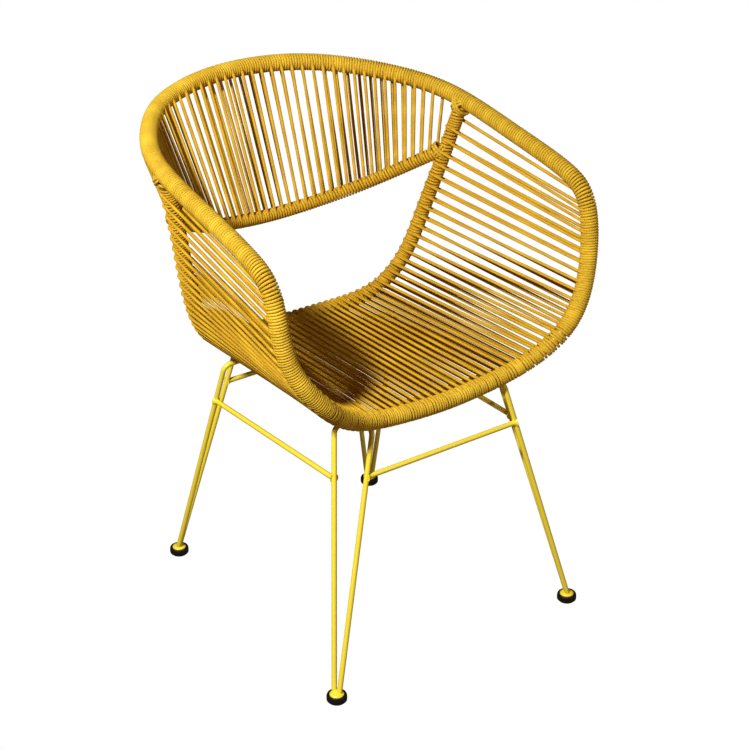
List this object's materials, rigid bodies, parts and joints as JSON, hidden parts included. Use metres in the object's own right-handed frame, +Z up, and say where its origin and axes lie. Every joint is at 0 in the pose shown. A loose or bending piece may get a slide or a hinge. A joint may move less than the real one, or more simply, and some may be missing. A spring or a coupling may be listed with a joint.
{
  "type": "rope-laced garden armchair",
  "caption": "Armchair with a bent tube frame wound and laced with round yellow cord, on a welded base of bent wire rods with rubber feet.",
  "frame": {"origin": "on the ground, under the middle of the chair's bounding box", "axes": "+Z up, +Y towards the chair's back, +X towards the right as seen from in front"},
  "size_m": [0.6002, 0.608, 0.7998],
  "materials": {
    "cord_lacing": "matt braided synthetic cord",
    "cord_winding": "matt braided synthetic cord",
    "frame_tube": "satin powder coat",
    "base_rod": "semi-gloss powder coat",
    "foot_cup": "semi-gloss powder coat",
    "foot_rubber": "matt black rubber"
  },
  "bodies": {
    "root": {"rim_tube": "frame_tube", "rear_hoop_tube": "frame_tube", "back_rail_tube": "frame_tube", "lacing_right": "cord_lacing", "lacing_seat": "cord_lacing", "lacing_left": "cord_lacing", "lacing_back": "cord_lacing", "rim_winding_front": "cord_winding", "rim_winding_back": "cord_winding", "arm_winding_right": "cord_winding", "arm_winding_left": "cord_winding", "front_frame": "base_rod", "back_frame": "base_rod", "left_frame": "base_rod", "right_frame": "base_rod", "left_stretcher": "base_rod", "right_stretcher": "base_rod", "front_stretcher": "base_rod", "rear_stretcher": "base_rod", "foot_cup_front_left": "foot_cup", "rubber_foot_front_left": "foot_rubber", "foot_cup_front_right": "foot_cup", "rubber_foot_front_right": "foot_rubber", "foot_cup_rear_left": "foot_cup", "rubber_foot_rear_left": "foot_rubber", "foot_cup_rear_right": "foot_cup", "rubber_foot_rear_right": "foot_rubber"}
  },
  "joints": []
}
